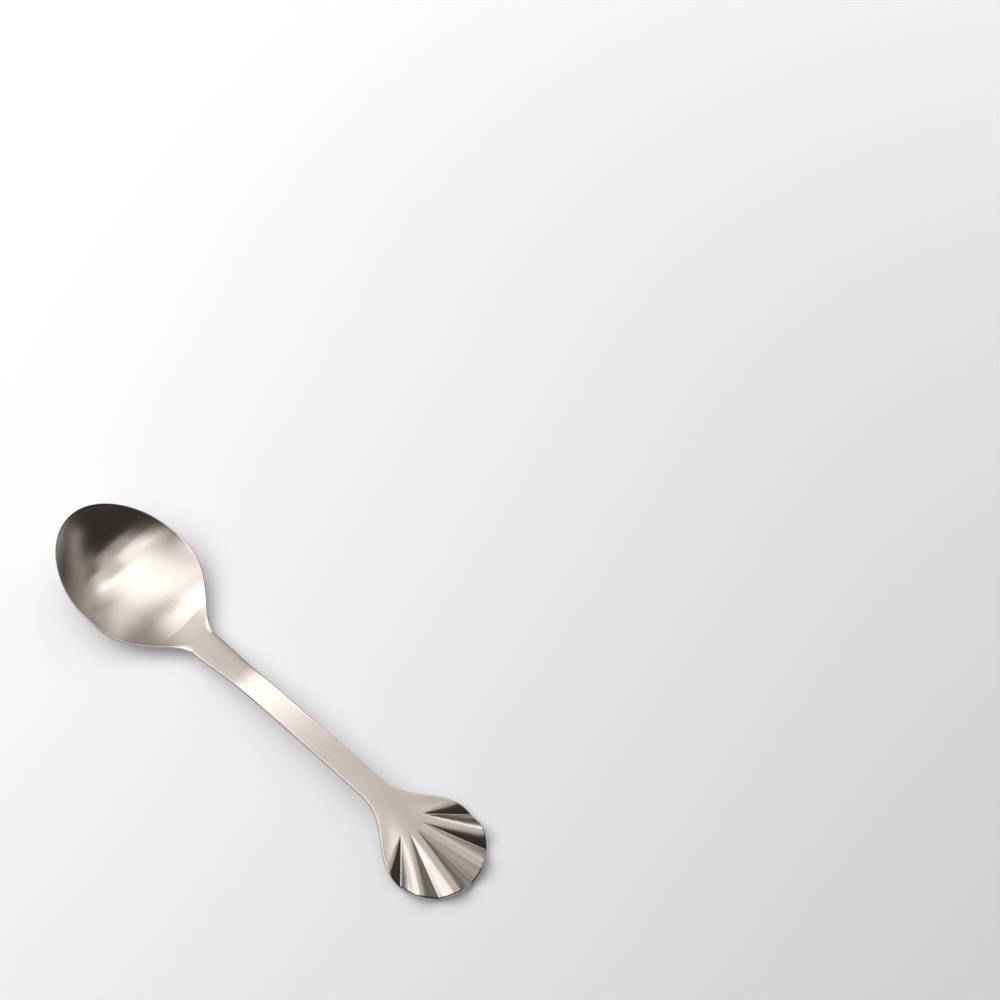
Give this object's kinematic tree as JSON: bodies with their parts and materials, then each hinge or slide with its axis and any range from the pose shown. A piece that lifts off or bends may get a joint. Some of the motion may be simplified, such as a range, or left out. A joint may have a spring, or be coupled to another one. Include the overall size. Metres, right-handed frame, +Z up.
{
  "type": "sugar spoon",
  "caption": "Pressed steel sugar spoon with an egg-shaped bowl, a slim arched handle and a fluted scallop shell at the handle's end.",
  "frame": {"origin": "on the table under the middle of the spoon's length, in its mirror plane", "axes": "+X from the bowl's tip to the shell's rim, +Y across the spoon, +Z up out of the bowl, the spoon lying as on a table"},
  "size_m": [0.14, 0.0324, 0.0126],
  "materials": {
    "bowl_satin": "satin stainless steel, brushed lengthwise",
    "handle_brushed": "stainless steel, finely brushed lengthwise",
    "shell_polished": "stainless steel, half polished, shinier than the handle"
  },
  "bodies": {
    "root": {"bowl": "bowl_satin", "handle": "handle_brushed", "shell_finial": "shell_polished"}
  },
  "joints": []
}
